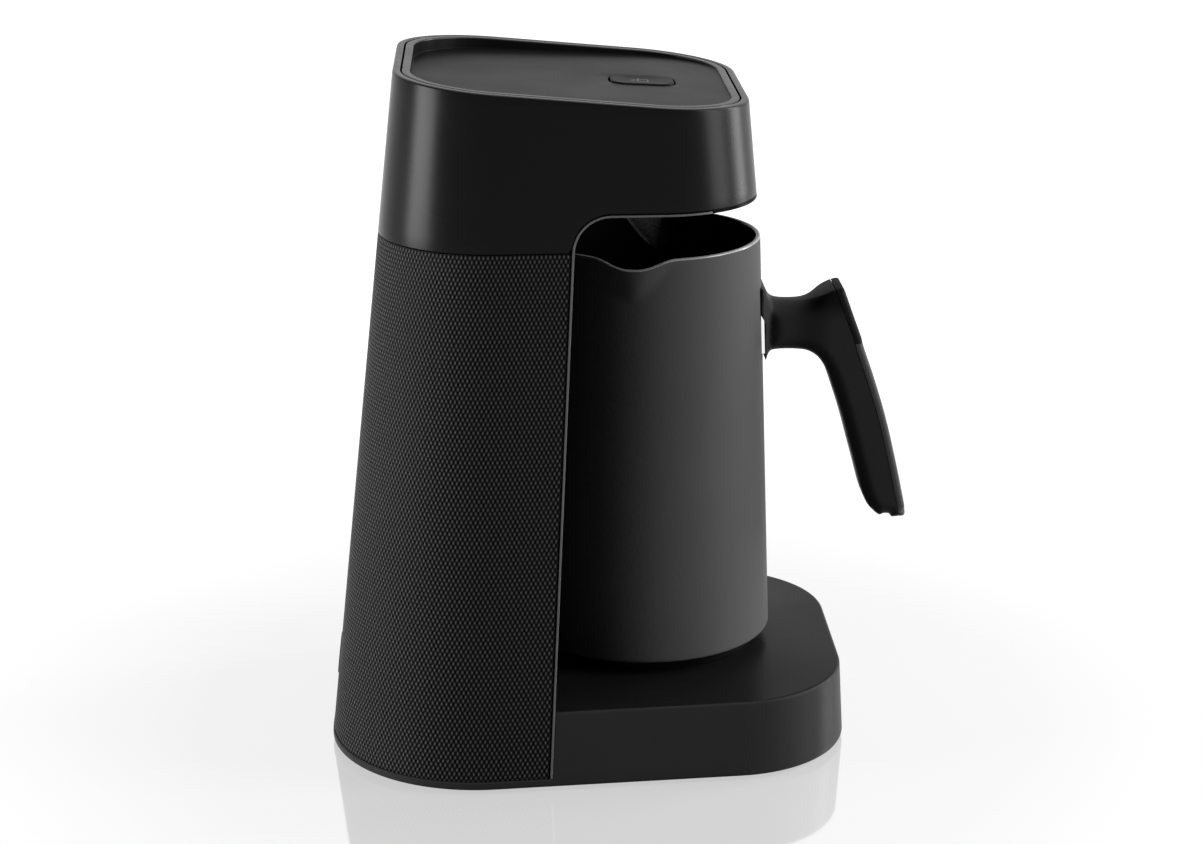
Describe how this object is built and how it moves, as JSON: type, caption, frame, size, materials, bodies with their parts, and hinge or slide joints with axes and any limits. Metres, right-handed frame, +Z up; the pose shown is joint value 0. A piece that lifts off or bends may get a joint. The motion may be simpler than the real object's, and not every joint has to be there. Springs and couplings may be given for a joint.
{
  "type": "electric turkish coffee maker",
  "caption": "Electric Turkish coffee maker: drafted knit-faced tower with an overhanging head, start button and a pull-out electric pot with side spouts and a handle.",
  "frame": {"origin": "middle of the footprint, with the handle's reach, at the surface that the machine stands on", "axes": "+Z up, front with the handle faces -Y, width along X"},
  "size_m": [0.1484, 0.2064, 0.2405],
  "materials": {
    "satin_black_plastic": "satin moulded black",
    "niche_gloss": "smooth black",
    "knit_plastic": "fine knit relief, black",
    "cover_plastic": "fine grained black",
    "rubber": "matte black",
    "steel": "zinc plated and plain steel",
    "brass": "bright",
    "circuit_board": "green lacquer",
    "grey_plastic": "moulded grey",
    "red_insulation": "red silicone",
    "led_lens": "tinted clear",
    "pot_coating": "matte black non-stick coat",
    "aluminium": "plain",
    "ceramic": "white"
  },
  "bodies": {
    "machine": {"base_shell": "satin_black_plastic", "upper_shell": "satin_black_plastic", "top_panel": "satin_black_plastic", "niche_liner": "niche_gloss", "knit_panel": "knit_plastic", "bottom_cover": "cover_plastic", "chassis": "cover_plastic", "button_guide": "cover_plastic", "foam_sensor": "cover_plastic", "power_socket": "cover_plastic", "switch_body": "cover_plastic", "buzzer": "cover_plastic", "controller_chip": "cover_plastic", "rubber_foot_1": "rubber", "rubber_foot_2": "rubber", "rubber_foot_3": "rubber", "rubber_foot_4": "rubber", "cord_gland": "rubber", "bottom_screws": "steel", "board_screws": "steel", "button_spring": "steel", "transformer": "steel", "socket_pins": "brass", "control_board": "circuit_board", "power_board": "circuit_board", "terminal_block": "circuit_board", "board_header": "grey_plastic", "ribbon_cable": "grey_plastic", "relay": "grey_plastic", "filter_capacitor": "grey_plastic", "socket_leads": "red_insulation", "status_led": "led_lens", "sensor_lens": "led_lens"},
    "pot": {"pot_body": "pot_coating", "heating_plate": "aluminium", "heating_element": "steel", "thermostat": "aluminium", "thermal_fuse": "ceramic", "pot_base_cap": "cover_plastic", "cap_screws": "steel", "pot_connector": "cover_plastic", "contact_sleeves": "brass", "handle_bracket": "steel", "handle_core": "satin_black_plastic", "handle_cover": "satin_black_plastic", "thumb_pad": "rubber", "handle_screw": "steel"},
    "button": {"start_button": "satin_black_plastic", "button_icon": "grey_plastic"},
    "plunger": {"switch_plunger": "grey_plastic"}
  },
  "joints": [
    {"name": "pot_pull", "type": "slide", "parent": "machine", "child": "pot", "axis": [0, -1, 0], "range_m": [0, 0.16]},
    {"name": "button_press", "type": "slide", "parent": "machine", "child": "button", "axis": [0, 0.0872, -0.9962], "range_m": [0, 0.0008], "stiffness_N_per_m": 1200, "springref_m": -0.0006, "deforming": ["button_spring"]},
    {"name": "plunger_press", "type": "slide", "parent": "machine", "child": "plunger", "axis": [0, 0.0872, -0.9962], "range_m": [0, 0.0008]}
  ],
  "couplings": [
    {"joint": "plunger_press", "follows": "button_press", "ratio": 1}
  ]
}
